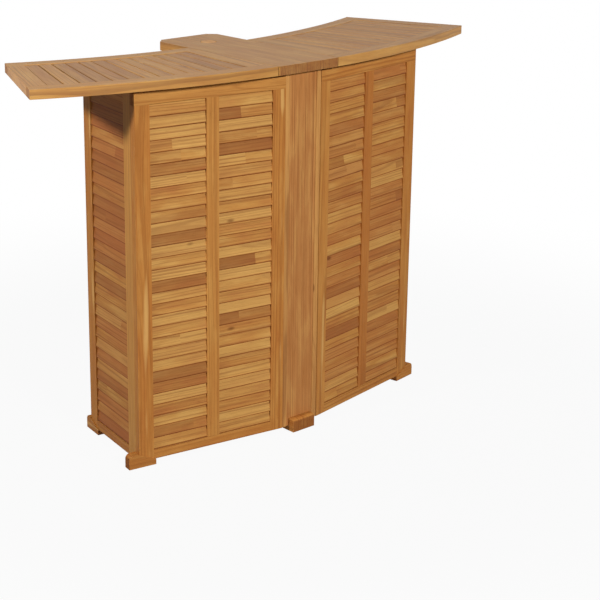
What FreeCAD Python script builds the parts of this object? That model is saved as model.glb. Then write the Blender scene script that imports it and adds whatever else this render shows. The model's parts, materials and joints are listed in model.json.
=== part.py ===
"""A slatted folding bar table: centre unit, wing panels, end panels and two curved table leaves.

The frame has +Z up, +X to the right and the guests' side at -Y. The origin lies on the floor, under the
middle of the object's box. The left half is drawn, and the right half is its mirror image.
"""

import FreeCAD
import Part
import Sketcher
import os
import re

# Driving dimensions, in millimetres and degrees
SIZES = {
    "total_long": 1550,
    "total_height": 1050,
    "top_thick": 25,
    "slab_wide": 212,
    "slab_deep": 533,
    "slab_back_chamfer": 24,
    "slab_front_chamfer": 2,
    "plug_radius": 22,
    "plug_head": 12,
    "plug_ledge": 5,
    "plug_clear": 0.8,
    "plug_from_front": 421,
    "column_wide": 128,
    "column_deep": 70,
    "column_setback": 21,
    "cheek_thick": 16,
    "face_thick": 20,
    "face_recess": 1.5,
    "floor_gap": 15,
    "spine_thick": 22,
    "spine_reach": 400,
    "spine_stile": 45,
    "spine_floor_gap": 48,
    "panel_thick": 22,
    "panel_top_gap": 9,
    "top_rail": 32,
    "bottom_rail": 27,
    "wing_long": 444,
    "wing_sweep": 9.5,
    "wing_outer_stile": 44,
    "wing_inner_stile": 36,
    "mullion_wide": 38,
    "end_long": 270,
    "end_stile": 40,
    "slat_face": 33,
    "slat_thick": 5,
    "slat_tilt": 10,
    "slat_setback": 1,
    "slat_clear": 0.3,
    "foot_tall": 39,
    "foot_proud": 3,
    "foot_grip": 49,
    "wing_foot_nose": 32,
    "end_foot_nose": 22,
    "nose_radius": 9,
    "skid_radius": 14,
    "foot_slope": 24,
    "centre_foot_wide": 80,
    "centre_foot_tall": 37,
    "centre_foot_grip": 60,
    "rear_foot_wide": 60,
    "rear_foot_grip": 70,
    "rear_foot_nose": 30,
    "hinge_offset": 3.5,
    "hinge_lap": 3.5,
    "hinge_setback": 25,
    "hinge_tall": 52,
    "hinge_inset": 80,
    "plate_wide": 18,
    "plate_thick": 2,
    "plate_gap": 0.4,
    "knuckle_radius": 3,
    "knuckle_clear": 0.3,
    "pin_radius": 1.5,
    "pin_clear": 0.05,
    "leaf_hinge_front_inset": 118,
    "leaf_hinge_back_inset": 47,
    "button_radius": 8,
    "button_clear": 0.3,
    "leaf_front_radius": 1968,
    "leaf_wide": 375,
    "leaf_setback": 2,
    "leaf_gap": 2,
    "leaf_rail": 45,
    "leaf_root_rail": 40,
    "leaf_tip_rail": 48,
    "leaf_slat_thick": 18,
    "leaf_slat_drop": 1,
    "leaf_slat_gap": 3.5,
    "cut_margin": 10,
}
PANEL_SLATS = 30
LEAF_SLATS = 13

# Places worked out from the driving dimensions
UNDER_TOP = "(total_height - top_thick)"
FRONT = "(-slab_deep / 2)"
COLUMN_FRONT = f"({FRONT} + column_setback)"
FACE_FRONT = f"({COLUMN_FRONT} + face_recess)"
FACE_BACK = f"({FACE_FRONT} + face_thick)"
SPINE_BACK = f"({FRONT} + spine_reach)"
PANEL_TOP = f"({UNDER_TOP} - panel_top_gap)"
PANEL_INNER = "hinge_offset"
PANEL_OUTER = "(hinge_offset + panel_thick)"
WING_PIVOT_X = "(-column_wide / 2 - hinge_offset)"
WING_PIVOT_Y = f"({COLUMN_FRONT} + hinge_setback)"
END_PIVOT = f"(wing_long - {PANEL_OUTER})"
MULLION = "((wing_long - wing_outer_stile - hinge_lap + wing_inner_stile) / 2)"
LEAF_ROOT = "(slab_wide / 2 + leaf_gap)"
LEAF_PIVOT_X = "(-slab_wide / 2 - leaf_gap / 2)"
LEAF_BACK_RADIUS = "(leaf_front_radius - leaf_wide)"
LEAF_FRONT_INNER = "(leaf_front_radius - leaf_rail)"
LEAF_BACK_INNER = f"({LEAF_BACK_RADIUS} + leaf_rail)"
LEAF_MIDDLE = "(leaf_front_radius - leaf_wide / 2)"
LEAF_CENTRE = f"({FRONT} + leaf_setback + sqrt(leaf_front_radius ^ 2 - {LEAF_ROOT} ^ 2))"
TIP_ANGLE = "(asin(total_long / 2 / leaf_front_radius) / 1 deg)"
ROOT_ANGLE = f"(asin(({LEAF_ROOT} + leaf_root_rail) / {LEAF_BACK_INNER}) / 1 deg)"
TIP_RAIL_ANGLE = f"(leaf_tip_rail / {LEAF_MIDDLE} * 180 / pi)"
LEAF_PITCH = f"(({TIP_ANGLE} - {TIP_RAIL_ANGLE} - {ROOT_ANGLE}) / {LEAF_SLATS})"
LEAF_SLAT_GAP = f"(leaf_slat_gap / {LEAF_MIDDLE} * 180 / pi)"
SLAT_RISE = "(slat_face * cos(slat_tilt) + slat_thick * sin(slat_tilt))"

# Local frames: origin and turn about Z. In a panel's frame X runs to its free end and Y to its outer face.
FRAMES = {
    "world": ("0", "0", "0"),
    "wing": (WING_PIVOT_X, WING_PIVOT_Y, "180 - wing_sweep"),
    "end": (
        f"{WING_PIVOT_X} - {END_PIVOT} * cos(wing_sweep)",
        f"{WING_PIVOT_Y} + {END_PIVOT} * sin(wing_sweep)",
        "90 - wing_sweep",
    ),
    "backward": ("0", "0", "90"),
    "forward": ("0", "0", "-90"),
}

UP = FreeCAD.Vector(0, 0, 1)
ALONG_X = FreeCAD.Vector(1, 0, 0)
ALONG_Y = FreeCAD.Vector(0, 1, 0)
NO_TURN = FreeCAD.Rotation()
TURNED_BACK = FreeCAD.Rotation(ALONG_Y, 180)
ON_CHEEK = FreeCAD.Rotation(ALONG_Y, ALONG_X, -UP, "ZXY")
UNDER_SLAB = FreeCAD.Rotation(ALONG_X, UP, -ALONG_Y, "ZXY")
UNDER_LEAF = FreeCAD.Rotation(-ALONG_X, UP, ALONG_Y, "ZXY")
LYING = FreeCAD.Rotation(ALONG_X, -90)

doc = FreeCAD.newDocument("FoldingBar")
sheet = doc.addObject("Spreadsheet::Sheet", "Sizes")
for row, (alias, value) in enumerate(SIZES.items(), start=1):
    sheet.set(f"A{row}", alias)
    sheet.set(f"B{row}", str(value))
    sheet.setAlias(f"B{row}", alias)
doc.recompute()
nodes = []


def bind(item, prop, text):
    """Bind a property to an expression in the sheet's aliases."""
    linked = re.sub(r"[a-z][a-z_]+", lambda word: f"Sizes.{word[0]}" if word[0] in SIZES else word[0], text)
    item.setExpression(prop, linked)


def locate(item, base, rotation=NO_TURN):
    """Give an object a fixed turn and a base point of three expressions."""
    item.Placement = FreeCAD.Placement(FreeCAD.Vector(), rotation)
    for axis, text in zip("xyz", base):
        bind(item, f"Placement.Base.{axis}", text)


def turn_about_z(item, angle):
    """Bind an object's turn about the upright axis."""
    item.Placement = FreeCAD.Placement(FreeCAD.Vector(), FreeCAD.Rotation(UP, 1))
    bind(item, "Placement.Rotation.Angle", angle)


def box(name, corner, size, rotation=NO_TURN):
    """A box from its low corner and its three lengths, turned about that corner."""
    item = doc.addObject("Part::Box", name)
    for prop, text in zip(("Length", "Width", "Height"), size):
        bind(item, prop, text)
    locate(item, corner, rotation)
    return item


def cylinder(name, base, radius, height, rotation=NO_TURN):
    """A cylinder that stands on its base point."""
    item = doc.addObject("Part::Cylinder", name)
    bind(item, "Radius", radius)
    bind(item, "Height", height)
    locate(item, base, rotation)
    return item


def sector(name, radius, thick, low, start, sweep):
    """A slice of a disc about the leaf's centre, whose angles run from the slab towards the left tip."""
    item = doc.addObject("Part::Cylinder", name)
    bind(item, "Radius", radius)
    bind(item, "Height", thick)
    bind(item, "Angle", sweep)
    turn_about_z(item, f"270 - ({start}) - ({sweep})")
    for axis, text in zip("xyz", ("0", LEAF_CENTRE, low)):
        bind(item, f"Placement.Base.{axis}", text)
    return item


def cut(name, base, tool):
    """One solid less another."""
    item = doc.addObject("Part::Cut", name)
    item.Base = base
    item.Tool = tool
    return item


def fuse(name, solids):
    """Several solids as one."""
    item = doc.addObject("Part::MultiFuse", name)
    item.Shapes = solids
    return item


def node(label, solids, frame="world"):
    """One named sub-part: a piece or a group of like pieces, placed by its frame."""
    item = doc.addObject("Part::Compound", label)
    item.Label = label
    item.Links = solids
    x, y, angle = FRAMES[frame]
    turn_about_z(item, angle)
    bind(item, "Placement.Base.x", x)
    bind(item, "Placement.Base.y", y)
    nodes.append(item)
    return item


def mirrored(name, source):
    """The mirror image of an object on the right half."""
    item = doc.addObject("Part::Mirroring", name)
    item.Label = name
    item.Source = source
    item.Normal = ALONG_X
    return item


def octagon_body(name, wide, deep, front_cut, back_cut, thick):
    """A board with four cut corners, padded up from the sketch of its outline.

    The sketch starts as a rough octagon, and its constraints give it the real size.
    """
    body = doc.addObject("PartDesign::Body", name)
    outline = body.newObject("Sketcher::SketchObject", f"{name}_outline")
    plane = next(item for item in body.Origin.OriginFeatures if item.Role == "XY_Plane")
    outline.AttachmentSupport = (plane, [""])
    outline.MapMode = "FlatFace"
    rough = [(50, 0), (150, 0), (200, 50), (200, 400), (150, 450), (50, 450), (0, 400), (0, 50)]
    corners = [
        (front_cut, None), (f"{wide} - {front_cut}", None),
        (wide, front_cut), (wide, f"{deep} - {back_cut}"),
        (f"{wide} - {back_cut}", deep), (back_cut, deep),
        (None, f"{deep} - {back_cut}"), (None, front_cut),
    ]
    following = [(index + 1) % len(rough) for index in range(len(rough))]
    for index, (x, y) in enumerate(rough):
        end_x, end_y = rough[following[index]]
        outline.addGeometry(Part.LineSegment(FreeCAD.Vector(x, y, 0), FreeCAD.Vector(end_x, end_y, 0)))
    for index, corner in enumerate(corners):
        outline.addConstraint(Sketcher.Constraint("Coincident", index, 2, following[index], 1))
        for kind, axis, value, expression in zip(("DistanceX", "DistanceY"), (-2, -1), rough[index], corner):
            if expression is None:
                outline.addConstraint(Sketcher.Constraint("PointOnObject", index, 1, axis))
            else:
                number = outline.addConstraint(Sketcher.Constraint(kind, -1, 1, index, 1, value))
                bind(outline, f"Constraints[{number}]", expression)
    pad = body.newObject("PartDesign::Pad", f"{name}_pad")
    pad.Profile = outline
    bind(pad, "Length", thick)
    return body


def panel(prefix, frame, span, faces, heights, stiles, mullion=None, capped=False):
    """A framed louvre panel: stiles, rails, a mullion where it has one, and tilted slats.

    Args: the node prefix, the local frame, the start and stop along X, the inner and outer face along Y,
    the bottom and top, the names and widths of the two stiles, the mullion's middle and width, and
    whether the top rail runs over the ends of the stiles as a cap instead of between them.
    """
    start, stop = span
    inner, outer = faces
    bottom, top = heights
    thick = f"({outer} - ({inner}))"
    tall = f"({top} - {bottom})"
    (first_name, first_wide), (last_name, last_wide) = stiles
    left = f"({start} + {first_wide})"
    right = f"({stop} - {last_wide})"
    opening_low = f"({bottom} + bottom_rail)"
    opening = f"({tall} - top_rail - bottom_rail)"
    stile_tall = f"({tall} - top_rail)" if capped else tall
    cap_start, cap_stop = (f"({start})", f"({stop})") if capped else (left, right)
    made = []
    for name, low, wide in (
        (first_name, start, first_wide),
        (last_name, f"{stop} - {last_wide}", last_wide),
    ):
        label = f"{prefix}_{name}"
        solid = box(f"{label}_board", (low, inner, bottom), (wide, thick, stile_tall))
        made.append(node(label, [solid], frame))
    for name, near, far, low in (
        ("top_rail", cap_start, cap_stop, f"{top} - top_rail"),
        ("bottom_rail", left, right, bottom),
    ):
        label = f"{prefix}_{name}"
        solid = box(f"{label}_board", (near, inner, low), (f"{far} - {near}", thick, name))
        made.append(node(label, [solid], frame))
    columns = [(left, right)]
    if mullion is not None:
        middle, wide = mullion
        low, high = f"({middle} - {wide} / 2)", f"({middle} + {wide} / 2)"
        solid = box(f"{prefix}_mullion_board", (low, inner, opening_low), (wide, thick, opening))
        made.append(node(f"{prefix}_mullion", [solid], frame))
        columns = [(left, low), (high, right)]
    made.append(node(f"{prefix}_slats", louvres(prefix, columns, faces, opening_low, opening), frame))
    return made


def louvres(prefix, columns, faces, opening_low, opening):
    """Tilted slats, lower edge outwards, spread evenly over the height of a panel's opening."""
    outer = faces[1]
    pitch = f"(({opening} - {SLAT_RISE} - 2 * slat_clear) / {PANEL_SLATS - 1})"
    slats = []
    for column, (low, high) in enumerate(columns):
        for step in range(PANEL_SLATS):
            slat = doc.addObject("Part::Box", f"{prefix}_slat_{column}_{step}")
            bind(slat, "Length", f"{high} - {low}")
            bind(slat, "Width", "slat_thick")
            bind(slat, "Height", "slat_face")
            slat.Placement = FreeCAD.Placement(FreeCAD.Vector(), FreeCAD.Rotation(ALONG_X, 1))
            bind(slat, "Placement.Rotation.Angle", "slat_tilt")
            bind(slat, "Placement.Base.x", low)
            bind(slat, "Placement.Base.y", f"{outer} - slat_setback - slat_thick * cos(slat_tilt)")
            bind(slat, "Placement.Base.z", f"{opening_low} + slat_clear + {step} * {pitch}")
            slats.append(slat)
    return slats


def foot(label, frame, tip, nose, grip, sides, tall, rounding, housing=None, sloped=False):
    """A skid foot whose nose has a rounded top edge, under the end of a board or panel.

    Args: the node label, the local frame, the place of the board's end along X, the reach of the nose
    beyond it and of the foot under it, the two sides along Y, the height, the radius of the nose's top
    edge, the sides of the housing that takes the board, and whether the top slopes down under the board.
    """
    near, far = sides
    wide = f"({far} - ({near}))"
    back = f"({tip} - {grip})"
    middle = f"({tip} + {nose} - {rounding})"
    lower = box(
        f"{label}_lower", (back, near, "0"), (f"{grip} + {nose}", wide, f"{tall} - {rounding}")
    )
    upper = box(f"{label}_upper", (back, near, "0"), (f"{middle} - {back}", wide, tall))
    round_edge = cylinder(
        f"{label}_nose", (middle, near, f"{tall} - {rounding}"), rounding, wide, LYING
    )
    solid = fuse(f"{label}_whole", [lower, upper, round_edge])
    if housing is not None:
        slot_near, slot_far = housing
        slot = box(
            f"{label}_slot",
            (f"{back} - cut_margin", slot_near, "floor_gap"),
            (f"{grip} + cut_margin", f"{slot_far} - ({slot_near})", tall),
        )
        solid = cut(f"{label}_housed", solid, slot)
    if sloped:
        above = box(
            f"{label}_above", (back, f"{near} - cut_margin", "floor_gap"),
            (f"{grip} + {nose}", f"{wide} + 2 * cut_margin", tall), FreeCAD.Rotation(-ALONG_Y, 1),
        )
        bind(above, "Placement.Rotation.Angle", "foot_slope")
        solid = cut(f"{label}_sloped", solid, above)
    return node(label, [solid], frame)


def hinge_half(name, base, rotation, carries_pin):
    """Half of a butt hinge: its plate along X, its pin on Z through the base point.

    The half that carries the pin has the two outer knuckles, and the other half has the middle one.
    """
    third = "(hinge_tall / 3)"
    levels = [f"(-hinge_tall / 2 + {step} * {third})" for step in range(3)]
    own = (0, 2) if carries_pin else (1,)
    solids = []
    notches = []
    for step, level in enumerate(levels):
        if step in own:
            low = f"{level} + knuckle_clear / 2"
            high = f"{third} - knuckle_clear"
            solids.append(cylinder(f"{name}_knuckle_{step}", ("0", "0", low), "knuckle_radius", high))
        else:
            notches.append(cylinder(
                f"{name}_notch_{step}", ("0", "0", f"{level} - knuckle_clear / 2"),
                "knuckle_radius + knuckle_clear", f"{third} + knuckle_clear",
            ))
    plate = box(
        f"{name}_plate",
        ("plate_gap", "hinge_offset - plate_thick", "-hinge_tall / 2"),
        ("plate_wide - plate_gap", "plate_thick", "hinge_tall"),
    )
    for notch in notches:
        plate = cut(f"{notch.Name}_cut", plate, notch)
    pin_base = ("0", "0", f"{levels[0]} + knuckle_clear / 2")
    pin_tall = "hinge_tall - knuckle_clear"
    if carries_pin:
        solids.append(cylinder(f"{name}_pin", pin_base, "pin_radius", pin_tall))
        half = fuse(name, [plate, *solids])
    else:
        bore = cylinder(f"{name}_bore", pin_base, "pin_radius + pin_clear", pin_tall)
        half = cut(name, fuse(f"{name}_solid", [plate, *solids]), bore)
    locate(half, base, rotation)
    return half


def hinge_column(name, base, rotation, carries_pin):
    """Three hinge halves above one another on a panel's height."""
    x, y = base
    low = "floor_gap + hinge_inset"
    high = f"{PANEL_TOP} - hinge_inset"
    levels = (low, f"({low} + {high}) / 2", high)
    return [
        hinge_half(f"{name}_{step}", (x, y, level), rotation, carries_pin)
        for step, level in enumerate(levels)
    ]


def leaf_hinges(name, rotation, carries_pin):
    """Two hinge halves on the line between the slab and its leaf."""
    places = (
        f"{FRONT} + leaf_setback + leaf_hinge_front_inset",
        f"{FRONT} + leaf_setback + leaf_wide - leaf_hinge_back_inset",
    )
    return [
        hinge_half(
            f"{name}_{step}", (LEAF_PIVOT_X, place, f"{UNDER_TOP} - hinge_offset"), rotation, carries_pin
        )
        for step, place in enumerate(places)
    ]


def centre_unit():
    """The top board with its plug, the column, the spine panel, the two feet and the fixed hinge halves."""
    board = octagon_body(
        "slab_board", "slab_wide", "slab_deep", "slab_front_chamfer", "slab_back_chamfer", "top_thick"
    )
    locate(board, ("-slab_wide / 2", FRONT, UNDER_TOP))
    plug_y = f"{FRONT} + plug_from_front"
    head_low = "total_height - plug_head"
    hole = fuse("slab_hole", [
        cylinder("slab_bore", ("0", plug_y, f"{UNDER_TOP} - cut_margin"),
                 "plug_radius - plug_ledge + plug_clear", "top_thick + 2 * cut_margin"),
        cylinder("slab_counterbore", ("0", plug_y, head_low),
                 "plug_radius + plug_clear", "plug_head + cut_margin"),
    ])
    node("centre_top", [cut("slab_bored", board, hole)])
    plug = fuse("plug_whole", [
        cylinder("plug_cap", ("0", plug_y, head_low), "plug_radius", "plug_head"),
        cylinder("plug_stem", ("0", plug_y, UNDER_TOP), "plug_radius - plug_ledge", "top_thick"),
    ])
    node("parasol_plug", [plug])

    tall = f"{UNDER_TOP} - floor_gap"
    face_wide = "(column_wide - 2 * cheek_thick)"
    face = box("face_board", (f"-{face_wide} / 2", FACE_FRONT, "floor_gap"), (face_wide, "face_thick", tall))
    node("column_face", [face])
    cheek = box(
        "cheek_board", ("-column_wide / 2", COLUMN_FRONT, "floor_gap"), ("cheek_thick", "column_deep", tall)
    )
    nodes.append(mirrored("column_cheek_right", node("column_cheek_left", [cheek])))

    panel(
        "spine", "backward", (FACE_BACK, SPINE_BACK), ("-spine_thick / 2", "(spine_thick / 2)"),
        ("spine_floor_gap", UNDER_TOP),
        (("front_stile", "spine_stile"), ("rear_stile", "spine_stile")),
    )
    half = "centre_foot_wide / 2"
    foot(
        "centre_front_foot", "forward", f"(-{FACE_FRONT})", "(column_setback + face_recess)",
        "centre_foot_grip", (f"-{half}", half), "centre_foot_tall", "nose_radius", (f"-{half}", half),
    )
    half = "rear_foot_wide / 2"
    foot(
        "centre_rear_foot", "backward", SPINE_BACK, "rear_foot_nose", "rear_foot_grip",
        (f"-{half}", half), "spine_floor_gap", "nose_radius",
    )
    for label, halves in (
        ("column_hinges", hinge_column("cheek_hinge", (WING_PIVOT_X, WING_PIVOT_Y), ON_CHEEK, True)),
        ("top_hinges", leaf_hinges("slab_hinge", UNDER_SLAB, True)),
    ):
        images = [mirrored(f"{item.Name}_image", item) for item in halves]
        node(label, halves + images)


def left_wing():
    """The louvred wing panel, its foot, its hinge halves and the buttons that carry the leaf."""
    faces = (PANEL_INNER, PANEL_OUTER)
    made = panel(
        "left_wing", "wing", ("(-hinge_lap)", "wing_long"), faces, ("floor_gap", PANEL_TOP),
        (("inner_stile", "wing_inner_stile"), ("outer_stile", "wing_outer_stile")),
        mullion=(MULLION, "mullion_wide"), capped=True,
    )
    made.append(foot(
        "left_wing_foot", "wing", "wing_long", "wing_foot_nose", "foot_grip",
        (PANEL_INNER, f"({PANEL_OUTER} + foot_proud)"), "foot_tall", "skid_radius", faces, sloped=True,
    ))
    halves = hinge_column("wing_hinge", ("0", "0"), NO_TURN, False)
    halves += hinge_column("wing_end_hinge", (END_PIVOT, "0"), TURNED_BACK, True)
    made.append(node("left_wing_hinges", halves, "wing"))
    buttons = [
        cylinder(
            f"rest_button_{index}", (place, f"{PANEL_OUTER} - button_radius", PANEL_TOP),
            "button_radius", "panel_top_gap - button_clear",
        )
        for index, place in enumerate((MULLION, "wing_long - wing_outer_stile / 2"))
    ]
    made.append(node("left_wing_rest_buttons", buttons, "wing"))
    return made


def left_end_panel():
    """The louvred end panel, its foot and its hinge halves."""
    faces = (PANEL_INNER, PANEL_OUTER)
    made = panel(
        "left_end", "end", ("(-hinge_lap)", "end_long"), faces, ("floor_gap", PANEL_TOP),
        (("front_stile", "end_stile"), ("rear_stile", "end_stile")),
    )
    made.append(foot(
        "left_end_foot", "end", "end_long", "end_foot_nose", "foot_grip",
        (PANEL_INNER, f"({PANEL_OUTER} + foot_proud)"), "foot_tall", "skid_radius", faces, sloped=True,
    ))
    halves = hinge_column("end_hinge", ("0", "0"), NO_TURN, False)
    made.append(node("left_end_hinges", halves, "end"))
    return made


def left_leaf():
    """The curved table leaf: two arched rails, a root and a tip rail, fanned slats and hinge halves."""
    margin = "cut_margin"
    tall = f"top_thick + 2 * {margin}"
    low = f"{UNDER_TOP} - {margin}"
    beside_slab = box(
        "leaf_root_cut",
        (f"-{LEAF_ROOT}", f"{LEAF_CENTRE} - leaf_front_radius - {margin}", low),
        (f"{LEAF_ROOT} + {margin}", f"leaf_wide + 3 * {margin}", tall),
    )
    inside = {
        name: cylinder(f"leaf_inside_{name}", ("0", LEAF_CENTRE, low), radius, tall)
        for name, radius in (
            ("front", LEAF_FRONT_INNER), ("back", LEAF_BACK_RADIUS), ("slats", LEAF_BACK_INNER)
        )
    }
    made = []
    for name, radius, hollow, start, sweep in (
        ("front_rail", "leaf_front_radius", "front", "0", TIP_ANGLE),
        ("back_rail", LEAF_BACK_INNER, "back", "0", TIP_ANGLE),
        ("root_rail", LEAF_FRONT_INNER, "slats", "0", ROOT_ANGLE),
        ("tip_rail", LEAF_FRONT_INNER, "slats", f"{TIP_ANGLE} - {TIP_RAIL_ANGLE}", TIP_RAIL_ANGLE),
    ):
        label = f"left_leaf_{name}"
        disc = sector(f"{label}_disc", radius, "top_thick", UNDER_TOP, start, sweep)
        ring = cut(f"{label}_ring", disc, inside[hollow])
        made.append(node(label, [cut(f"{label}_trimmed", ring, beside_slab)]))
    discs = [
        sector(
            f"leaf_slat_{step}", LEAF_FRONT_INNER, "leaf_slat_thick",
            "total_height - leaf_slat_drop - leaf_slat_thick",
            f"{ROOT_ANGLE} + {step} * {LEAF_PITCH} + {LEAF_SLAT_GAP} / 2",
            f"{LEAF_PITCH} - {LEAF_SLAT_GAP}",
        )
        for step in range(LEAF_SLATS)
    ]
    slats = [cut(f"{disc.Name}_trimmed", disc, inside["slats"]) for disc in discs]
    made.append(node("left_leaf_slats", slats))
    made.append(node("left_leaf_hinges", leaf_hinges("leaf_hinge", UNDER_LEAF, False)))
    return made


def check_and_export():
    """Stop on any failed object, then write one file for each sub-part."""
    doc.recompute()
    failed = [item.Name for item in doc.Objects if {"Invalid", "Error"} & set(item.State)]
    broken = [item.Label for item in nodes if item.Shape.isNull() or not item.Shape.isValid()]
    if failed or broken:
        raise RuntimeError(f"failed objects {failed}, broken shapes {broken}")
    os.makedirs("parts", exist_ok=True)
    for item in nodes:
        item.Shape.exportStep(f"parts/{item.Label}.step")


centre_unit()
for piece in left_wing() + left_end_panel() + left_leaf():
    nodes.append(mirrored(piece.Label.replace("left", "right", 1), piece))
check_and_export()
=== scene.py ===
"""The looks of the folding bar table: eased teak boards, steel butt hinges and a white studio.

Each wooden CAD node is copied, its edges are eased and every board gets its own grain and tone.
"""

from __future__ import annotations

import json
import logging
import math
import random
from abc import ABC, abstractmethod
from dataclasses import dataclass, field
from enum import Enum
from typing import Any, Iterator, Optional, Union

import bmesh
import bpy
from mathutils import Matrix, Vector


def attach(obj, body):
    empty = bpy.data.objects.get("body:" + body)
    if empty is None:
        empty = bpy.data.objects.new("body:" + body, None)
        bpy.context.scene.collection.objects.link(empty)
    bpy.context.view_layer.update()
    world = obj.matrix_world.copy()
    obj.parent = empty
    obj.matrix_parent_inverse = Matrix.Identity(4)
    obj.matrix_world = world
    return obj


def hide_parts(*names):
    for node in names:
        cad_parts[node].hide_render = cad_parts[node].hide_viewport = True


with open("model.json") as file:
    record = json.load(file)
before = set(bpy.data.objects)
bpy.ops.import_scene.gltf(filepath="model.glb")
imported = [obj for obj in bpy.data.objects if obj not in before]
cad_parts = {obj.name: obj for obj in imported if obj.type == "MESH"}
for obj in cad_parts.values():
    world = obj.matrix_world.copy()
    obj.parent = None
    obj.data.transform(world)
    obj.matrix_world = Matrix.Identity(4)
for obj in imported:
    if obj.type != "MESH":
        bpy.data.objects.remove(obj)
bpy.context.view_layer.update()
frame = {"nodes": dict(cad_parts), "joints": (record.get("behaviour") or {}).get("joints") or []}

log = logging.getLogger("folding_bar")

# The wings' turn out of the front plane, as in the CAD
WING_SWEEP = math.radians(9.5)
# Faces that turn by less are one flat face, and corners closer than this are one corner
FLAT_ANGLE = math.radians(0.2)
MERGE_REACH = 1e-6
# A face is end grain where its normal lies this much along the grain
END_COSINE = 0.9
# How far the grain moves along, across and through the log at an end joint, in metres
JOINT_SHIFT = (3.7, 0.012, 0.019)

Colour = tuple[float, float, float]
Operand = Union["Value", float]
UP = Vector((0, 0, 1))
BACK = Vector((0, 1, 0))
RIGHT = Vector((1, 0, 0))


def linear(red: int, green: int, blue: int) -> Colour:
    """A colour given as screen levels, as the linear numbers that shaders take.

    Args:
        red: Screen level from 0 to 255.
        green: The same for green.
        blue: The same for blue.

    Returns:
        The three linear parts.
    """
    return tuple(
        part / 12.92 if part <= 0.04045 else ((part + 0.055) / 1.055) ** 2.4
        for part in (red / 255, green / 255, blue / 255)
    )


class Value:
    """A shader socket that takes part in Python sums."""

    def __init__(self, graph: Graph, socket: Optional[bpy.types.NodeSocket]) -> None:
        """Keep the socket and the graph that it belongs to."""
        self.graph = graph
        self.socket = socket

    def _sum(self, operation: str, first: Operand, second: Operand) -> Value:
        """One Math node on two operands."""
        return self.graph.add("ShaderNodeMath", {"operation": operation}, {0: first, 1: second})

    def __add__(self, other: Operand) -> Value:
        """This plus another."""
        return self._sum("ADD", self, other)

    def __radd__(self, other: float) -> Value:
        """A number plus this."""
        return self._sum("ADD", other, self)

    def __sub__(self, other: Operand) -> Value:
        """This less another."""
        return self._sum("SUBTRACT", self, other)

    def __rsub__(self, other: float) -> Value:
        """A number less this."""
        return self._sum("SUBTRACT", other, self)

    def __mul__(self, other: Operand) -> Value:
        """This times another."""
        return self._sum("MULTIPLY", self, other)

    def __rmul__(self, other: float) -> Value:
        """A number times this."""
        return self._sum("MULTIPLY", other, self)

    def __truediv__(self, other: Operand) -> Value:
        """This divided by another."""
        return self._sum("DIVIDE", self, other)

    def __pow__(self, other: Operand) -> Value:
        """This to a power."""
        return self._sum("POWER", self, other)

    def __gt__(self, other: Operand) -> Value:
        """One where this is greater, else nought."""
        return self._sum("GREATER_THAN", self, other)

    def step(self, low: float, high: float) -> Value:
        """A smooth step from nought at low to one at high.

        Args:
            low: Where the step starts.
            high: Where it ends.

        Returns:
            The stepped value.
        """
        return self.graph.add(
            "ShaderNodeMapRange", {"interpolation_type": "SMOOTHSTEP"},
            {"Value": self, "From Min": low, "From Max": high},
        )


class Graph:
    """The node tree of one material or of the world."""

    def __init__(self, owner: Union[bpy.types.Material, bpy.types.World]) -> None:
        """Start an empty tree.

        Args:
            owner: The material or world that the tree belongs to.
        """
        owner.use_nodes = True
        self.tree = owner.node_tree
        self.tree.nodes.clear()

    def add(
        self, kind: str, settings: Optional[dict[str, Any]] = None,
        sockets: Optional[dict[Union[int, str], Any]] = None, out: Union[int, str] = 0,
    ) -> Value:
        """Add any node.

        Args:
            kind: The node's type.
            settings: Its properties, which are set first.
            sockets: A number, a colour or a Value for each input.
            out: The output that is handed back.

        Returns:
            That output, which is empty for a node without outputs.
        """
        node = self.tree.nodes.new(kind)
        for key, setting in (settings or {}).items():
            setattr(node, key, setting)
        for key, given in (sockets or {}).items():
            if isinstance(given, Value):
                self.tree.links.new(given.socket, node.inputs[key])
            else:
                node.inputs[key].default_value = given
        return Value(self, node.outputs[out] if len(node.outputs) else None)

    def blend(self, share: Operand, first: Any, second: Any, mode: str = "MIX") -> Value:
        """Blend two colours.

        Args:
            share: How much of the second colour shows.
            first: A colour or a colour socket.
            second: The same for the colour blended in.
            mode: The blend type.

        Returns:
            The blended colour.
        """
        pair = [given if isinstance(given, Value) else (*given, 1.0) for given in (first, second)]
        return self.add(
            "ShaderNodeMix", {"data_type": "RGBA", "blend_type": mode},
            {0: share, 6: pair[0], 7: pair[1]}, out=2,
        )

    def attribute(self, name: str) -> Value:
        """The vector attribute of that name."""
        return self.add("ShaderNodeAttribute", {"attribute_name": name}, out="Vector")

    def also(self, value: Value, name: str) -> Value:
        """Another output of the node that a value comes from."""
        return Value(self, value.socket.node.outputs[name])

    def parts(self, vector: Value) -> list[Value]:
        """The three parts of a vector."""
        first = self.add("ShaderNodeSeparateXYZ", None, {0: vector})
        return [Value(self, socket) for socket in first.socket.node.outputs]

    def vector(self, operation: str, first: Any, second: Any) -> Value:
        """One Vector Math node on two vectors."""
        return self.add("ShaderNodeVectorMath", {"operation": operation}, {0: first, 1: second})

    def noise(self, place: Value, stretch: Colour, detail: float) -> Value:
        """Noise on a stretched vector.

        Args:
            place: The vector.
            stretch: Features per metre along its three axes.
            detail: How many finer layers are added.

        Returns:
            A value around a half.
        """
        stretched = self.vector("MULTIPLY", place, stretch)
        sockets = {"Vector": stretched, "Scale": 1.0, "Detail": detail, "Roughness": 0.55}
        return self.add("ShaderNodeTexNoise", None, sockets)

    def seen_directly(self) -> Value:
        """Tell what is looked at from what only lights the table.

        Returns:
            One for rays from the camera, off gloss or through glass, else nought.
        """
        kinds = ("Is Camera Ray", "Is Glossy Ray", "Is Transmission Ray")
        camera, gloss, glass = (self.add("ShaderNodeLightPath", out=kind) for kind in kinds)
        return (camera + gloss + glass).step(0.0, 1.0)


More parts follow.
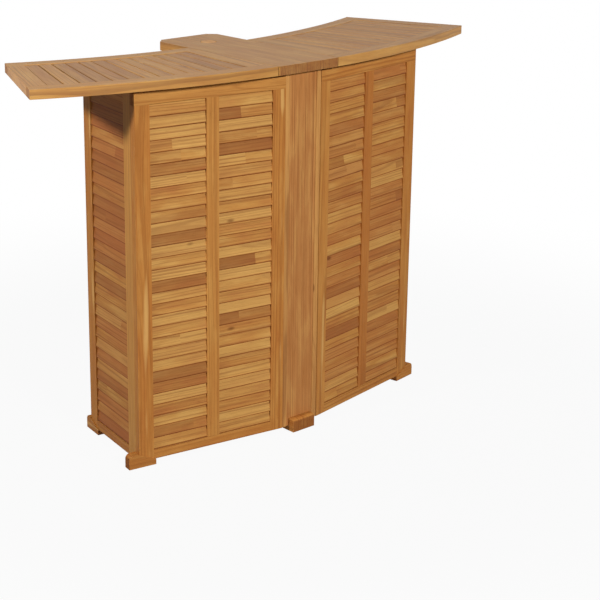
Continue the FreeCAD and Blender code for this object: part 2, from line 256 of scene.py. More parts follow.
@dataclass(frozen=True)
class BoardInputs:
    """What a teak shader reads from the attributes of a board."""

    place: Value
    shade: Value
    redness: Value
    sap_share: Value
    sap_middle: Value
    edge: Value
    end_grain: Value
    # Height above an overlapping slat's lowest point, which places painted shade
    lap: Value

    @classmethod
    def read(cls, graph: Graph) -> BoardInputs:
        """Read the attributes and shift the grain where a board is joined end to end.

        Args:
            graph: The material's node tree.

        Returns:
            The sockets.
        """
        shade, redness, sap_share = graph.parts(graph.attribute("tone"))
        joint, jump, sap_middle = graph.parts(graph.attribute("joint"))
        # The third part is that height, which places painted shade, not a mark of wear
        edge, end_grain, lap = graph.parts(graph.attribute("wear"))
        cut = graph.attribute("grain")
        past = graph.parts(cut)[0] > joint
        moved = {axis: past * far for axis, far in enumerate(JOINT_SHIFT)}
        shift = graph.add("ShaderNodeCombineXYZ", None, moved)
        place = graph.vector("ADD", cut, shift)
        return cls(place, shade + past * jump, redness, sap_share, sap_middle, edge, end_grain, lap)


@dataclass(frozen=True)
class Figure:
    """The marks of the grain, each from nought to one."""

    lines: Value
    streaks: Value
    fibre: Value
    pores: Value
    cloud: Value
    knot: Value
    sap: Value


class GrainNoise(Enum):
    """The noises of the grain: features per metre along, across and through it, and finer layers."""

    BEND = ((1.7, 11.0, 11.0), 2.0)
    SWELL = ((4.0, 3.0, 3.0), 1.0)
    STREAK = ((1.1, 150.0, 150.0), 3.0)
    FIBRE = ((9.0, 480.0, 480.0), 2.0)
    PORE = ((36.0, 1300.0, 1300.0), 1.0)
    CLOUD = ((7.0, 30.0, 30.0), 3.0)

    def at(self, graph: Graph, place: Value) -> Value:
        """This noise at a place in the log."""
        return graph.noise(place, *self.value)


class Stain(Enum):
    """What a mark multiplies into the wood: how much of it shows, and its tint. Each is a mark of the
    wood itself, except the band along each slat's lowest edge, which is painted shade.
    """

    FIBRE = (0.30, (0.62, 0.55, 0.50))
    PORE = (0.40, (0.45, 0.36, 0.30))
    KNOT = (0.70, (0.30, 0.20, 0.16))
    END_GRAIN = (0.85, (0.58, 0.48, 0.52))
    # Painted shade: a dark warm band along the lowest edge of each slat, where it overlaps the one
    # below
    LAP = (0.85, (0.42, 0.16, 0.06))

    def over(self, wood: Value, mark: Value) -> Value:
        """The wood with this mark where it is: a stain of the wood, or painted shade along the slat
        edges.
        """
        share, tint = self.value
        return wood.graph.blend(mark * share, wood, tint, "MULTIPLY")


@dataclass(frozen=True)
class TeakFinish:
    """Oiled teak, drawn as the solid block of growth rings that each board is cut from."""

    name: str
    slot: str
    body: Colour
    pale: Colour
    deep: Colour
    red: Colour
    sap: Colour
    ring_pitch: float = 0.0052
    ring_share: float = 0.6
    streak_share: float = 0.4
    gloss: float = 0.5
    relief: float = 0.00035
    specular: float = 0.12
    ring_bend: float = 0.014
    log_taper: float = 0.008
    knot_cell: Colour = (9.0, 22.0, 22.0)
    knot_rarity: float = 0.93
    sap_half: float = 0.006
    sap_bend: float = 0.03
    cloud_pale: float = 0.65
    cloud_red: float = 0.6
    shade_pale: float = 0.7
    shade_deep: float = 0.62
    red_share: float = 0.5
    sap_share: float = 0.75
    worn_share: float = 0.2

    def material(self) -> bpy.types.Material:
        """Make the material from the board attributes for grain, tone, joints, edge and end-grain marks
        and the height for painted shade.

        Returns:
            The finished material.
        """
        material = bpy.data.materials.new(self.name)
        graph = Graph(material)
        board = BoardInputs.read(graph)
        figure = self._figure(graph, board)
        height = figure.fibre * 0.6 + figure.lines * 0.3 - figure.pores * 0.9
        normal = graph.add(
            "ShaderNodeBump", None, {"Strength": 0.45, "Distance": self.relief, "Height": height}
        )
        rough = self.gloss + figure.fibre * 0.14 + board.end_grain * 0.14 + board.edge * 0.08
        shader = graph.add("ShaderNodeBsdfPrincipled", None, {
            "Base Color": self._colour(graph, board, figure), "Roughness": rough, "Normal": normal,
            "Specular IOR Level": self.specular,
        })
        graph.add("ShaderNodeOutputMaterial", None, {"Surface": shader})
        return material

    def _figure(self, graph: Graph, board: BoardInputs) -> Figure:
        """Draw the grain at a board's place in the log.

        Args:
            graph: The material's node tree.
            board: The board's sockets.

        Returns:
            The marks of the grain.
        """
        place = board.place
        along, across, through = graph.parts(place)
        bend = GrainNoise.BEND.at(graph, place) - 0.5
        radius = (across * across + through * through) ** 0.5
        radius = radius + bend * self.ring_bend + along * self.log_taper
        rings = graph.add(
            "ShaderNodeTexNoise", {"noise_dimensions": "1D"},
            {"W": radius / self.ring_pitch, "Scale": 1.0, "Detail": 3.0, "Roughness": 0.65},
        )
        cell = graph.add("ShaderNodeTexVoronoi", None, {
            "Vector": graph.vector("MULTIPLY", place, self.knot_cell), "Scale": 1.0,
        })
        rare = graph.parts(graph.also(cell, "Color"))[0] > self.knot_rarity
        aside = across - board.sap_middle + bend * self.sap_bend
        swell = GrainNoise.SWELL.at(graph, place).step(0.45, 0.68)
        inside = swell * self.sap_half - (aside * aside) ** 0.5
        return Figure(
            lines=rings.step(0.46, 0.70),
            streaks=GrainNoise.STREAK.at(graph, place).step(0.53, 0.68),
            fibre=GrainNoise.FIBRE.at(graph, place),
            pores=GrainNoise.PORE.at(graph, place).step(0.60, 0.76),
            cloud=GrainNoise.CLOUD.at(graph, place),
            knot=(1.0 - cell.step(0.06, 0.16)) * rare,
            sap=inside.step(-0.0015, 0.004) * swell * board.sap_share,
        )

    def _colour(self, graph: Graph, board: BoardInputs, figure: Figure) -> Value:
        """Colour the grain, the pale rubbed edges and the painted shade along the lowest edges of the
        slats.

        Args:
            graph: The material's node tree.
            board: The board's sockets.
            figure: The marks of the grain.

        Returns:
            The colour.
        """
        cloud, shade = figure.cloud, board.shade
        wood = graph.blend(cloud.step(0.46, 0.70) * self.cloud_pale, self.body, self.pale)
        for share, colour in (
            ((1.0 - cloud).step(0.50, 0.74) * self.cloud_red, self.red),
            (shade.step(0.0, 1.0) * self.shade_pale, self.pale),
            ((0.0 - shade).step(0.0, 1.0) * self.shade_deep, self.deep),
            (board.redness * self.red_share, self.red),
            (figure.lines * self.ring_share, self.deep),
            (figure.streaks * self.streak_share, self.deep),
            (figure.sap * self.sap_share, self.sap),
        ):
            wood = graph.blend(share, wood, colour)
        wood = Stain.FIBRE.over(wood, figure.fibre.step(0.40, 0.75))
        wood = Stain.PORE.over(wood, figure.pores)
        wood = Stain.KNOT.over(wood, figure.knot)
        wood = Stain.END_GRAIN.over(wood, board.end_grain)
        wood = graph.blend(board.edge * self.worn_share, wood, self.pale)
        # Painted shade along the lowest few millimetres of each overlapping slat
        return Stain.LAP.over(wood, 1.0 - board.lap.step(0.0016, 0.0042))


@dataclass(frozen=True)
class SteelFinish:
    """Brushed steel with fine scratches and a dull film."""

    name: str
    slot: str
    bright: Colour
    dull: Colour
    film_share: float = 0.7
    scratch_share: float = 0.25
    scratch_tint: Colour = (0.7, 0.7, 0.7)
    scratch_depth: float = 0.00008
    gloss: float = 0.28

    def material(self) -> bpy.types.Material:
        """Make the material on object coordinates.

        Returns:
            The finished material.
        """
        material = bpy.data.materials.new(self.name)
        graph = Graph(material)
        place = graph.add("ShaderNodeTexCoord", out="Object")
        scratches = graph.noise(place, (2600.0, 2600.0, 45.0), 2.0)
        film = graph.noise(place, (90.0, 90.0, 60.0), 3.0).step(0.42, 0.68)
        colour = graph.blend(film * self.film_share, self.bright, self.dull)
        scratched = scratches.step(0.5, 0.7) * self.scratch_share
        colour = graph.blend(scratched, colour, self.scratch_tint, "MULTIPLY")
        normal = graph.add("ShaderNodeBump", None, {
            "Strength": 0.25, "Distance": self.scratch_depth, "Height": scratches,
        })
        shader = graph.add("ShaderNodeBsdfPrincipled", None, {
            "Base Color": colour, "Metallic": 1.0 - film * 0.15,
            "Roughness": self.gloss + film * 0.16 + scratches * 0.1, "Normal": normal,
        })
        graph.add("ShaderNodeOutputMaterial", None, {"Surface": shader})
        return material


class Finish(Enum):
    """The finishes of the table."""

    TOP = TeakFinish(
        "top_teak", "top_wood", linear(196, 140, 70), linear(212, 162, 88), linear(142, 92, 46),
        linear(182, 120, 58), linear(216, 168, 102), gloss=0.42, specular=0.3,
    )
    FRAME = TeakFinish(
        "frame_teak", "frame_wood", linear(192, 128, 60), linear(206, 150, 78), linear(150, 88, 38),
        linear(178, 106, 48), linear(222, 172, 102), ring_pitch=0.0068,
    )
    SLAT = TeakFinish(
        "slat_teak", "slat_wood", linear(194, 136, 68), linear(216, 168, 94), linear(140, 82, 42),
        linear(174, 102, 54), linear(222, 178, 110), ring_share=0.45,
    )
    PLUG = TeakFinish(
        "plug_teak", "top_wood", linear(232, 168, 84), linear(240, 184, 104), linear(190, 124, 60),
        linear(222, 148, 70), linear(240, 190, 120), gloss=0.42, specular=0.3,
    )
    COLUMN = TeakFinish(
        "column_teak", "column_wood", linear(192, 130, 72), linear(212, 156, 88), linear(140, 84, 42),
        linear(176, 112, 56), linear(208, 158, 94), ring_pitch=0.0042,
    )
    STEEL = SteelFinish("hinge_steel", "hinge_metal", (0.60, 0.58, 0.54), (0.42, 0.39, 0.34))


class Dresser:
    """Keeps one material for each finish."""

    def __init__(self) -> None:
        """Make every finish once."""
        self.materials = {finish: finish.value.material() for finish in Finish}

    def dress(self, piece: bpy.types.Object, finish: Finish) -> None:
        """Give a piece the material of its finish.

        Args:
            piece: The piece.
            finish: Its finish.
        """
        piece.data.materials.clear()
        piece.data.materials.append(self.materials[finish])


class GrainMap(ABC):
    """How the grain of a board runs."""

    @abstractmethod
    def direction(self, point: Vector, middle: Vector) -> Vector:
        """The unit vector along the grain at a point of a board with that middle."""

    @abstractmethod
    def place(self, point: Vector, middle: Vector) -> Vector:
        """The point's place in the board: along the grain, across the face and through it."""


@dataclass(frozen=True)
class StraightGrain(GrainMap):
    """Grain in one direction, on boards whose wide face points another way."""

    along: Vector
    face: Vector

    def direction(self, point: Vector, middle: Vector) -> Vector:
        """The same direction everywhere."""
        return self.along

    def place(self, point: Vector, middle: Vector) -> Vector:
        """Measure along the board's three axes.

        Args:
            point: A point of the board.
            middle: The board's middle.

        Returns:
            The distances from the middle.
        """
        offset = point - middle
        across = self.face.cross(self.along)
        return Vector((offset.dot(self.along), offset.dot(across), offset.dot(self.face)))


@dataclass(frozen=True)
class FannedGrain(GrainMap):
    """Grain of straight boards that fan out from a centre in plan."""

    centre: Vector

    def direction(self, point: Vector, middle: Vector) -> Vector:
        """Point from the centre through the board's middle.

        Args:
            point: A point of the board, which makes no difference.
            middle: The board's middle.

        Returns:
            The level unit vector.
        """
        ray = middle - self.centre
        ray.z = 0
        return ray.normalized()

    def place(self, point: Vector, middle: Vector) -> Vector:
        """Distances from the board's middle along and across the ray."""
        return StraightGrain(self.direction(point, middle), UP).place(point, middle)


@dataclass(frozen=True)
class CurvedGrain(GrainMap):
    """Grain of a board bent round a centre in plan."""

    centre: Vector

    def direction(self, point: Vector, middle: Vector) -> Vector:
        """Square to the ray from the centre."""
        return UP.cross(point - self.centre).normalized()

    def place(self, point: Vector, middle: Vector) -> Vector:
        """Measure round the centre.

        Args:
            point: A point of the board.
            middle: The board's middle.

        Returns:
            The arc from the middle, the distance from the middle arc and the height.
        """
        ray, mean = (point - self.centre).xy, (middle - self.centre).xy
        arc = mean.angle_signed(ray) * mean.length
        return Vector((arc, ray.length - mean.length, point.z - middle.z))


class Sawn(Enum):
    """How a board is cut from the log: the pith's reach to the side of it and behind it, in metres."""

    FLAT = ((0.0, 0.03), (0.02, 0.09))
    QUARTER = ((0.10, 0.22), (-0.03, 0.03))

    def pith(self, draw: random.Random, log_length: float = 8.0) -> Vector:
        """Where the board's middle lies in the log.

        Args:
            draw: The board's random numbers.
            log_length: The length of the log, in metres.

        Returns:
            The place along the log and off its pith.
        """
        aside, behind = self.value
        along = draw.uniform(0, log_length)
        across = draw.uniform(*aside) * draw.choice((-1, 1))
        return Vector((along, across, draw.uniform(*behind)))


@dataclass(frozen=True)
class ToneSpread:
    """How much the boards of a set differ in tone and cut, and how many are joined or show sapwood."""

    base: float
    spread: float
    redness: float
    joined: float = 0.0
    sappy: float = 0.0
    quartered: float = 0.5
    joint_span: float = 0.65
    joint_jump: float = 0.5
    sap_span: float = 0.7


@dataclass(frozen=True)
class Mitre:
    """An upright cut that brings the ends of boards close to the side of the column."""

    along: Vector
    column_half: float = 0.064
    clearance: float = 0.0006
    reach: float = 0.006

    def cut(self, shape: bmesh.types.BMesh) -> None:
        """Slide the corners near the column along the boards until they lie beside it.

        Args:
            shape: The boards.
        """
        side = math.copysign(self.column_half + self.clearance, self.along.x)
        for vert in shape.verts:
            short = vert.co.x - side
            if abs(short) < self.reach:
                vert.co -= self.along * (short / self.along.x)


@dataclass
class BoardSet:
    """The boards of one CAD node, with eased edges and a grain of their own."""

    node: str
    body: str
    finish: Finish
    grain: GrainMap
    ease: float
    tone: ToneSpread
    # True for slats, whose lowest edge gets painted shade
    lapped: bool = False
    mitre: Optional[Mitre] = None
    sharp: float = math.radians(28)
    segments: int = 3

    def build(self, dresser: Dresser) -> bpy.types.Object:
        """Copy the node's mesh, ease its edges, write the board attributes and put the piece in place.

        Args:
            dresser: Gives the piece its material.

        Returns:
            The piece, which stands for the node.
        """
        shape = merged_copy(self.node)
        if self.mitre:
            self.mitre.cut(shape)
        eased = rounded(shape, self.ease, self.sharp, self.segments)
        layers = self._attributes(shape, eased)
        piece = piece_from(shape, f"{self.node}_eased")
        for name, values in layers.items():
            layer = piece.data.attributes.new(name, "FLOAT_VECTOR", "POINT")
            layer.data.foreach_set("vector", [part for value in values for part in value])
        dresser.dress(piece, self.finish)
        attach(piece, self.body)
        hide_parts(self.node)
        return piece

    def _attributes(
        self, shape: bmesh.types.BMesh, eased: set[bmesh.types.BMFace]
    ) -> dict[str, list[Vector]]:
        """Work out the grain, tone, joint, edge and end-grain marks and painted-shade height of every
        vertex.

        Args:
            shape: The eased boards.
            eased: The faces on their eased edges.

        Returns:
            A vector for each vertex under each attribute's name.
        """
        shape.verts.index_update()
        layers = {name: [Vector()] * len(shape.verts) for name in ("grain", "tone", "joint", "wear")}
        draw, spread = random.Random(self.node), self.tone
        for board in boards_of(shape):
            middle = box_middle(board)
            # Height above the slat's lowest point, for the painted shade; other boards get none
            lowest = min(vert.co.z for vert in board) if self.lapped else -math.inf
            places = {vert: self.grain.place(vert.co, middle) for vert in board}
            reach, half = (max(place[axis] for place in places.values()) for axis in (0, 1))
            sawn = Sawn.QUARTER if draw.random() < spread.quartered else Sawn.FLAT
            pith = sawn.pith(draw)
            shade = spread.base + draw.gauss(0, spread.spread)
            tone = Vector((shade, draw.random() * spread.redness, draw.random() < spread.sappy))
            where = 2 * reach
            if draw.random() < spread.joined:
                where = draw.uniform(-spread.joint_span, spread.joint_span) * reach
            sap_middle = draw.uniform(-spread.sap_span, spread.sap_span) * half + pith.y
            joint = Vector((where + pith.x, draw.gauss(0, spread.joint_jump), sap_middle))
            for vert, place in places.items():
                layers["grain"][vert.index] = place + pith
                layers["tone"][vert.index] = tone
                layers["joint"][vert.index] = joint
                layers["wear"][vert.index] = Vector((
                    all(face in eased for face in vert.link_faces),
                    self._on_end(vert, middle, eased), min(vert.co.z - lowest, 1.0),
                ))
        return layers

    def _on_end(
        self, vert: bmesh.types.BMVert, middle: Vector, eased: set[bmesh.types.BMFace]
    ) -> bool:
        """Tell whether a vertex borders a face that is sawn across the grain.

        Args:
            vert: The vertex.
            middle: The middle of its board.
            eased: The faces on the eased edges, which don't count.

        Returns:
            True on an end of the board.
        """
        along = self.grain.direction(vert.co, middle)
        return any(
            face not in eased and abs(face.normal.dot(along)) > END_COSINE for face in vert.link_faces
        )


def merged_copy(node: str) -> bmesh.types.BMesh:
    """A CAD node's mesh with its corners merged and its flat faces whole.

    Args:
        node: The node's name.

    Returns:
        The mesh.
    """
    shape = bmesh.new()
    shape.from_mesh(frame["nodes"][node].data)
    bmesh.ops.remove_doubles(shape, verts=shape.verts, dist=MERGE_REACH)
    bmesh.ops.dissolve_limit(
        shape, angle_limit=FLAT_ANGLE, verts=shape.verts, edges=shape.edges, delimit=set()
    )
    shape.normal_update()
    return shape


def rounded(
    shape: bmesh.types.BMesh, reach: float, sharp: float, segments: int
) -> set[bmesh.types.BMFace]:
    """Round the edges of a mesh that turn by more than an angle.

    Args:
        shape: The mesh.
        reach: How far the rounding goes from the edge.
        sharp: The angle.
        segments: The steps of the rounding.

    Returns:
        The faces that this made.
    """
    edges = [edge for edge in shape.edges if edge.is_manifold and edge.calc_face_angle() > sharp]
    made = bmesh.ops.bevel(
        shape, geom=edges, offset=reach, offset_type="OFFSET", affect="EDGES",
        segments=segments, profile=0.5, material=-1, clamp_overlap=True,
    )
    return set(made["faces"])


def boards_of(shape: bmesh.types.BMesh) -> list[list[bmesh.types.BMVert]]:
    """The separate boards of a mesh, in an order that depends on their places alone.

    Args:
        shape: The mesh.

    Returns:
        The vertices of each board.
    """
    left = set(shape.verts)
    boards = []
    while left:
        queue = [left.pop()]
        board = list(queue)
        while queue:
            for edge in queue.pop().link_edges:
                for vert in edge.verts:
                    if vert in left:
                        left.remove(vert)
                        board.append(vert)
                        queue.append(vert)
        boards.append(board)
    return sorted(boards, key=lambda board: tuple(round(part, 4) for part in box_middle(board)))


def box_middle(board: list[bmesh.types.BMVert]) -> Vector:
    """The middle of the box round some vertices."""
    spans = [[vert.co[axis] for vert in board] for axis in range(3)]
    return Vector([(min(span) + max(span)) / 2 for span in spans])


def piece_from(shape: bmesh.types.BMesh, name: str) -> bpy.types.Object:
    """Turn a mesh into a smooth-shaded object whose flat faces stay flat.

    Args:
        shape: The mesh, which is freed.
        name: The piece's name.

    Returns:
        The object, at the origin.
    """
    mesh = bpy.data.meshes.new(name)
    for face in shape.faces:
        face.smooth = True
    shape.to_mesh(mesh)
    shape.free()
    piece = bpy.data.objects.new(name, mesh)
    bpy.context.scene.collection.objects.link(piece)
    weighted = piece.modifiers.new("flat_faces", "WEIGHTED_NORMAL")
    weighted.keep_sharp = True
    return piece


@dataclass
class HingeSet:
    """The hinge halves of one CAD node, with softened edges and countersunk screws."""

    node: str
    body: str
    joints: tuple[str, ...]
    soften: float = 0.0003
    sharp: float = math.radians(40)
    segments: int = 2
    screw_radius: float = 0.0031
    screw_proud: float = 0.0002
    screw_reach: float = 0.0115
    screw_spacing: float = 0.017
    slot_wide: float = 0.0009
    slot_deep: float = 0.0006
    slot_share: float = 0.75
    head_taper: float = 0.9
    rim: float = 0.0006

    def build(self, dresser: Dresser) -> bpy.types.Object:
        """Copy the node's mesh, soften it and set the screws in its plates.

        Args:
            dresser: Gives the piece its material.

        Returns:
            The piece, which stands for the node.
        """
        shape = merged_copy(self.node)
        places = [place for half in boards_of(shape) for place in self._screw_places(half)]
        rounded(shape, self.soften, self.sharp, self.segments)
        for place in places:
            self._add_screw(shape, place)
        piece = piece_from(shape, f"{self.node}_screwed")
        dresser.dress(piece, Finish.STEEL)
        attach(piece, self.body)
        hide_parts(self.node)
        return piece

    def _screw_places(self, half: list[bmesh.types.BMVert]) -> Iterator[Matrix]:
        """Find where the screws of a hinge half sit.

        Args:
            half: The half's vertices.

        Yields:
            A frame on the open face of the plate for each screw, with Z out of that face.
        """
        middle = box_middle(half)
        pins = [(Vector(joint["pos_m"]), Vector(joint["axis"]).normalized())
                for joint in frame["joints"] if joint["name"] in self.joints]
        foot, pin = min(pins, key=lambda one: (middle - one[0]).cross(one[1]).length)
        foot = foot + pin * (middle - foot).dot(pin)

        def from_pin(vert: bmesh.types.BMVert) -> Vector:
            """The offset of a vertex square to the pin."""
            offset = vert.co - foot
            return offset - pin * offset.dot(pin)

        ordered = sorted((from_pin(vert) for vert in half), key=lambda offset: offset.length)
        farthest = ordered[-1]
        rim = [offset for offset in ordered if farthest.length - offset.length < self.rim]
        to_wood = (farthest - rim[0]).normalized()
        outward = (farthest - to_wood * farthest.dot(to_wood)).normalized()
        row = foot + outward * self.screw_reach + to_wood * rim[0].dot(to_wood)
        turn = Matrix((outward, to_wood.cross(outward), -to_wood)).transposed().to_4x4()
        for level in (-self.screw_spacing, self.screw_spacing):
            yield Matrix.Translation(row + pin * level) @ turn

    def _add_screw(self, shape: bmesh.types.BMesh, place: Matrix) -> None:
        """Add one countersunk head with a cross slot.

        Args:
            shape: The mesh that takes it.
            place: Its frame.
        """
        head = bmesh.new()
        bmesh.ops.create_circle(head, cap_ends=True, segments=16, radius=self.screw_radius)
        top = bmesh.ops.extrude_face_region(head, geom=head.faces[:])
        raised = [item for item in top["geom"] if isinstance(item, bmesh.types.BMVert)]
        bmesh.ops.translate(head, verts=raised, vec=(0, 0, self.screw_proud))
        bmesh.ops.scale(head, verts=raised, vec=(self.head_taper, self.head_taper, 1))
        half = self.slot_wide / 2
        for normal in (RIGHT, BACK):
            for side in (-half, half):
                bmesh.ops.bisect_plane(
                    head, geom=head.verts[:] + head.edges[:] + head.faces[:],
                    plane_co=normal * side, plane_no=normal,
                )
        middles = {face: face.calc_center_median() for face in head.faces}
        slot = [
            face for face, middle in middles.items()
            if middle.z > self.screw_proud * self.head_taper
            and min(abs(middle.x), abs(middle.y)) < half
            and middle.xy.length < self.screw_radius * self.slot_share
        ]
        sunk = bmesh.ops.extrude_face_region(head, geom=slot)
        floor = [item for item in sunk["geom"] if isinstance(item, bmesh.types.BMVert)]
        bmesh.ops.translate(head, verts=floor, vec=(0, 0, -self.slot_deep))
        bmesh.ops.delete(head, geom=slot, context="FACES_ONLY")
        bmesh.ops.recalc_face_normals(head, faces=head.faces)
        bmesh.ops.transform(head, matrix=place, verts=head.verts)
        loose = bpy.data.meshes.new("screw")
        head.to_mesh(loose)
        head.free()
        shape.from_mesh(loose)
        bpy.data.meshes.remove(loose)


class Side(Enum):
    """The two halves of the table, with the sign of X on each."""

    LEFT = -1
    RIGHT = 1

    @property
    def word(self) -> str:
        """The side's name in node names."""
        return self.name.lower()


class SubAssembly(ABC):
    """A group of pieces that is built and dressed together."""

    @abstractmethod
    def sets(self) -> list[Union[BoardSet, HingeSet]]:
        """The board and hinge sets of the group."""

    def build(self, dresser: Dresser) -> list[bpy.types.Object]:
        """Build and dress every set.

        Args:
            dresser: Gives the pieces their materials.

        Returns:
            The finished pieces.
        """
        return [one.build(dresser) for one in self.sets()]


@dataclass
class LouvrePanel(SubAssembly):
    """A framed panel of tilted slats on a foot, as the wings and the ends are."""

    body: str
    along: Vector
    face: Vector
    uprights: tuple[str, ...]
    joints: tuple[str, ...]
    slat_tone: ToneSpread
    extras: tuple[str, ...] = ()
    frame_tone: ToneSpread = ToneSpread(0.0, 0.25, 0.35, 0.0, 0.35)
    tones: dict[str, ToneSpread] = field(default_factory=dict)
    mitre: Optional[Mitre] = None
    ease: float = 0.0005
    slat_ease: float = 0.001

    def sets(self) -> list[Union[BoardSet, HingeSet]]:
        """Gather the panel's pieces.

        Returns:
            Uprights, rails, the foot, any extras, the slats and the hinge halves.
        """
        upright = StraightGrain(UP, self.face)
        level = StraightGrain(self.along, self.face)
        boards = [(name, upright) for name in self.uprights]
        boards += [(name, level) for name in ("top_rail", "bottom_rail", "foot")]
        boards += [(name, upright) for name in self.extras]
        made: list[Union[BoardSet, HingeSet]] = [
            BoardSet(
                f"{self.body}_{name}", self.body, Finish.FRAME, grain, self.ease,
                self.tones.get(name, self.frame_tone), mitre=self.mitre,
            )
            for name, grain in boards
        ]
        made.append(BoardSet(
            f"{self.body}_slats", self.body, Finish.SLAT, level, self.slat_ease, self.slat_tone, True
        ))
        made.append(HingeSet(f"{self.body}_hinges", self.body, self.joints))
        return made


def wing_panel(side: Side) -> LouvrePanel:
    """The panel that swings on the column, redder and darker on the right.

    Args:
        side: Its side.

    Returns:
        The panel.
    """
    word, sign = side.word, side.value
    across, back = math.cos(WING_SWEEP), math.sin(WING_SWEEP)
    along = Vector((sign * across, back, 0))
    return LouvrePanel(
        f"{word}_wing", along, Vector((sign * back, -across, 0)),
        ("outer_stile", "inner_stile", "mullion"), (f"{word}_wing_fold", f"{word}_end_fold"),
        ToneSpread(0.2 - 0.15 * sign, 0.56 - 0.12 * sign, 0.7 + 0.5 * sign, 0.2), ("rest_buttons",),
        tones={
            "outer_stile": ToneSpread(0.0, 0.0, 0.3, sappy=1.0),
            "mullion": ToneSpread(0.1 - 0.35 * sign, 0.0, 0.9 + 0.7 * sign),
            "inner_stile": ToneSpread(0.2 + 0.2 * sign, 0.0, 0.3, sappy=1.0),
            "top_rail": ToneSpread(0.4 - 0.3 * sign, 0.0, 0.2),
        },
        mitre=Mitre(along),
    )


def end_panel(side: Side) -> LouvrePanel:
    """The panel that swings on the end of a wing.

    Args:
        side: Its side.

    Returns:
        The panel.
    """
    word, sign = side.word, side.value
    across, back = math.cos(WING_SWEEP), math.sin(WING_SWEEP)
    return LouvrePanel(
        f"{word}_end", Vector((-sign * back, across, 0)), Vector((sign * across, back, 0)),
        ("front_stile", "rear_stile"), (f"{word}_end_fold",), ToneSpread(-0.7, 0.8, 1.5, 0.2),
        tones={"front_stile": ToneSpread(1.3, 0.0, 0.4)},
    )


@dataclass
class TableLeaf(SubAssembly):
    """A curved leaf of the counter."""

    side: Side
    centre: Vector = field(default_factory=lambda: Vector((0, 1.7005, 1.0375)))
    ease: float = 0.0005
    slat_ease: float = 0.001
    rail_tone: ToneSpread = ToneSpread(0.3, 0.15, 0.3)
    slat_tone: ToneSpread = ToneSpread(-0.3, 0.3, 0.4)

    def sets(self) -> list[Union[BoardSet, HingeSet]]:
        """Gather the leaf's pieces.

        Returns:
            The curved rails, the straight rails, the fanned slats and the hinge halves.
        """
        body = f"{self.side.word}_leaf"
        curved, fanned = CurvedGrain(self.centre), FannedGrain(self.centre)
        boards = (
            ("front_rail", curved), ("back_rail", curved), ("root_rail", fanned), ("tip_rail", fanned)
        )
        made: list[Union[BoardSet, HingeSet]] = [
            BoardSet(f"{body}_{name}", body, Finish.TOP, grain, self.ease, self.rail_tone)
            for name, grain in boards
        ]
        made.append(BoardSet(f"{body}_slats", body, Finish.TOP, fanned, self.slat_ease, self.slat_tone))
        made.append(HingeSet(f"{body}_hinges", body, (f"{body}_hinge",)))
        return made


@dataclass
class CentreUnit(SubAssembly):
    """The part that stands still: top board, column, spine panel and feet, with the plug in the top."""

    ease: float = 0.0005
    slat_ease: float = 0.0011
    plug_ease: float = 0.0016
    top_tone: ToneSpread = ToneSpread(0.05, 0.1, 0.2)
    slat_tone: ToneSpread = ToneSpread(0.1, 0.6, 0.6, 0.2)
    column_tone: ToneSpread = ToneSpread(0.0, 0.08, 0.3, quartered=1.0)
    cheek_tone: ToneSpread = ToneSpread(0.9, 0.05, 0.0, quartered=1.0)
    plug_tone: ToneSpread = ToneSpread(0.2, 0.0, 0.0)

    def sets(self) -> list[Union[BoardSet, HingeSet]]:
        """Gather the unit's pieces.

        Returns:
            Every board of the unit, the plug and the fixed hinge halves.
        """
        body = "centre"
        lengthwise = StraightGrain(BACK, UP)
        across_spine = StraightGrain(BACK, RIGHT)
        upright = StraightGrain(UP, RIGHT)
        boards = [
            ("column_face", Finish.COLUMN, StraightGrain(UP, -BACK), self.column_tone),
            ("column_cheek_left", Finish.COLUMN, upright, self.cheek_tone),
            ("column_cheek_right", Finish.COLUMN, upright, self.cheek_tone),
            ("centre_front_foot", Finish.FRAME, lengthwise, self.column_tone),
            ("centre_rear_foot", Finish.FRAME, lengthwise, self.column_tone),
            ("spine_front_stile", Finish.FRAME, upright, self.column_tone),
            ("spine_rear_stile", Finish.FRAME, upright, self.column_tone),
            ("spine_top_rail", Finish.FRAME, across_spine, self.column_tone),
            ("spine_bottom_rail", Finish.FRAME, across_spine, self.column_tone),
            ("centre_top", Finish.TOP, lengthwise, self.top_tone),
        ]
        made: list[Union[BoardSet, HingeSet]] = [
            BoardSet(name, body, finish, grain, self.ease, tone) for name, finish, grain, tone in boards
        ]
        made.append(BoardSet(
            "spine_slats", body, Finish.SLAT, across_spine, self.slat_ease, self.slat_tone, True
        ))
        made.append(BoardSet(
            "parasol_plug", "plug", Finish.PLUG, lengthwise, self.plug_ease, self.plug_tone
        ))
        folds = ("left_wing_fold", "right_wing_fold")
        leaves = ("left_leaf_hinge", "right_leaf_hinge")
        made += [HingeSet("column_hinges", body, folds), HingeSet("top_hinges", body, leaves)]
        return made


@dataclass(frozen=True)
class SoftBox:
    """A square lamp that looks at the table."""

    name: str
    azimuth: float
    elevation: float
    distance: float
    power: float
    size: float
    shines: bool = True


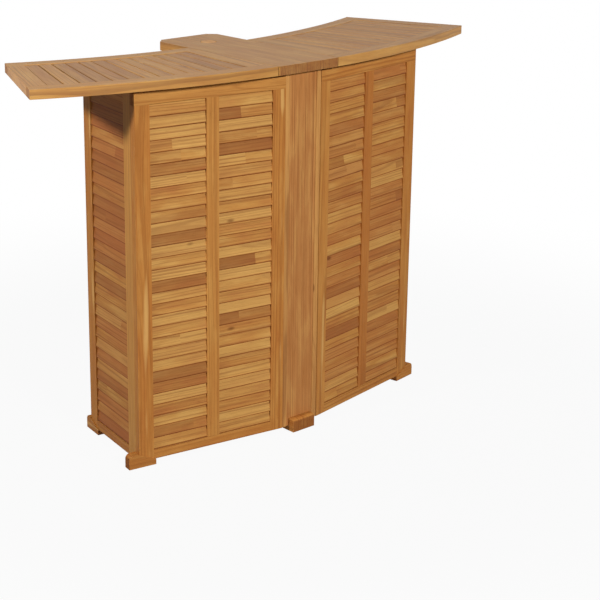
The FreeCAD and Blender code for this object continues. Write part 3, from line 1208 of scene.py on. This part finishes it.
@dataclass
class Studio:
    """White floor, soft light and the camera at the photograph's place."""

    target: Vector = field(default_factory=lambda: Vector((0.0, 0.0886, 0.525)))
    distance: float = 4.5317
    azimuth: float = -39.92
    elevation: float = 16.18
    lens: float = 93.62
    sensor: float = 36.0
    far_clip: float = 100.0
    shift: tuple[float, float] = (0.1278, -0.1266)
    ambient: float = 0.02
    floor_half: float = 14.0
    floor_grey: float = 0.3
    white_share: float = 0.94
    shadow_reach: tuple[float, float] = (0.9, 2.4)
    lamps: tuple[SoftBox, ...] = (
        SoftBox("key", -10, 24, 8.0, 475, 0.9),
        SoftBox("side", -90, 28, 4.2, 95, 0.35),
        SoftBox("back", 150, 5, 6.0, 190, 1.6, shines=False),
    )

    def direction(self, azimuth: float, elevation: float) -> Vector:
        """The unit vector from the table towards a place round it.

        Args:
            azimuth: Degrees from the front, to the right as positive.
            elevation: Degrees above the floor.

        Returns:
            The vector.
        """
        turn, rise = math.radians(azimuth), math.radians(elevation)
        level = math.cos(rise)
        return Vector((math.sin(turn) * level, -math.cos(turn) * level, math.sin(rise)))

    def build(self) -> None:
        """Set up the whole studio."""
        self._camera()
        self._world()
        self._floor()
        for box in self.lamps:
            self._lamp(box)
        bpy.context.scene.view_settings.view_transform = "Standard"

    def _camera(self) -> None:
        """Put the camera where the photograph was taken."""
        camera = bpy.data.objects.new("camera", bpy.data.cameras.new("camera"))
        bpy.context.scene.collection.objects.link(camera)
        towards = self.direction(self.azimuth, self.elevation)
        camera.location = self.target + towards * self.distance
        camera.rotation_euler = (-towards).to_track_quat("-Z", "Y").to_euler()
        camera.data.lens = self.lens
        camera.data.sensor_width = self.sensor
        camera.data.shift_x, camera.data.shift_y = self.shift
        camera.data.clip_end = self.far_clip
        bpy.context.scene.camera = camera

    def _world(self) -> None:
        """White where it is seen, and a faint even light on the table."""
        world = bpy.data.worlds.new("studio")
        bpy.context.scene.world = world
        graph = Graph(world)
        strength = graph.seen_directly() * (1.0 - self.ambient) + self.ambient
        shader = graph.add("ShaderNodeBackground", None, {"Color": (1, 1, 1, 1), "Strength": strength})
        graph.add("ShaderNodeOutputWorld", None, {"Surface": shader})

    def _floor(self) -> None:
        """A grey floor that shows nearly white and keeps a soft shadow."""
        sheet = bmesh.new()
        bmesh.ops.create_grid(sheet, x_segments=1, y_segments=1, size=self.floor_half)
        mesh = bpy.data.meshes.new("floor")
        sheet.to_mesh(mesh)
        sheet.free()
        floor = bpy.data.objects.new("floor", mesh)
        bpy.context.scene.collection.objects.link(floor)
        material = bpy.data.materials.new("floor_paper")
        graph = Graph(material)
        place = graph.add("ShaderNodeTexCoord", out="Object")
        away = graph.add("ShaderNodeVectorMath", {"operation": "LENGTH"}, {0: place}, out="Value")
        share = away.step(*self.shadow_reach) * (1.0 - self.white_share) + self.white_share
        grey = self.floor_grey
        paper = graph.add("ShaderNodeBsdfDiffuse", None, {"Color": (grey, grey, grey, 1)})
        white = graph.add("ShaderNodeEmission", None, {"Color": (1, 1, 1, 1), "Strength": 1.0})
        whiten = graph.seen_directly() * share
        shader = graph.add("ShaderNodeMixShader", None, {0: whiten, 1: paper, 2: white})
        graph.add("ShaderNodeOutputMaterial", None, {"Surface": shader})
        mesh.materials.append(material)

    def _lamp(self, box: SoftBox) -> None:
        """Hang one soft box and turn it to the table.

        Args:
            box: The lamp's place, power and size, and whether the wood mirrors it.
        """
        lamp = bpy.data.lights.new(box.name, "AREA")
        lamp.energy = box.power
        lamp.size = box.size
        holder = bpy.data.objects.new(box.name, lamp)
        holder.visible_glossy = box.shines
        bpy.context.scene.collection.objects.link(holder)
        towards = self.direction(box.azimuth, box.elevation)
        holder.location = self.target + towards * box.distance
        holder.rotation_euler = (-towards).to_track_quat("-Z", "Y").to_euler()


def main() -> None:
    """Build every sub-assembly and the studio."""
    logging.basicConfig(level=logging.INFO, format="%(name)s: %(message)s")
    dresser = Dresser()
    groups: list[SubAssembly] = [CentreUnit()]
    for side in Side:
        groups += [wing_panel(side), end_panel(side), TableLeaf(side)]
    for group in groups:
        for piece in group.build(dresser):
            log.info("%s: %d faces", piece.name, len(piece.data.polygons))
    Studio().build()


if __name__ == "__main__":
    main()
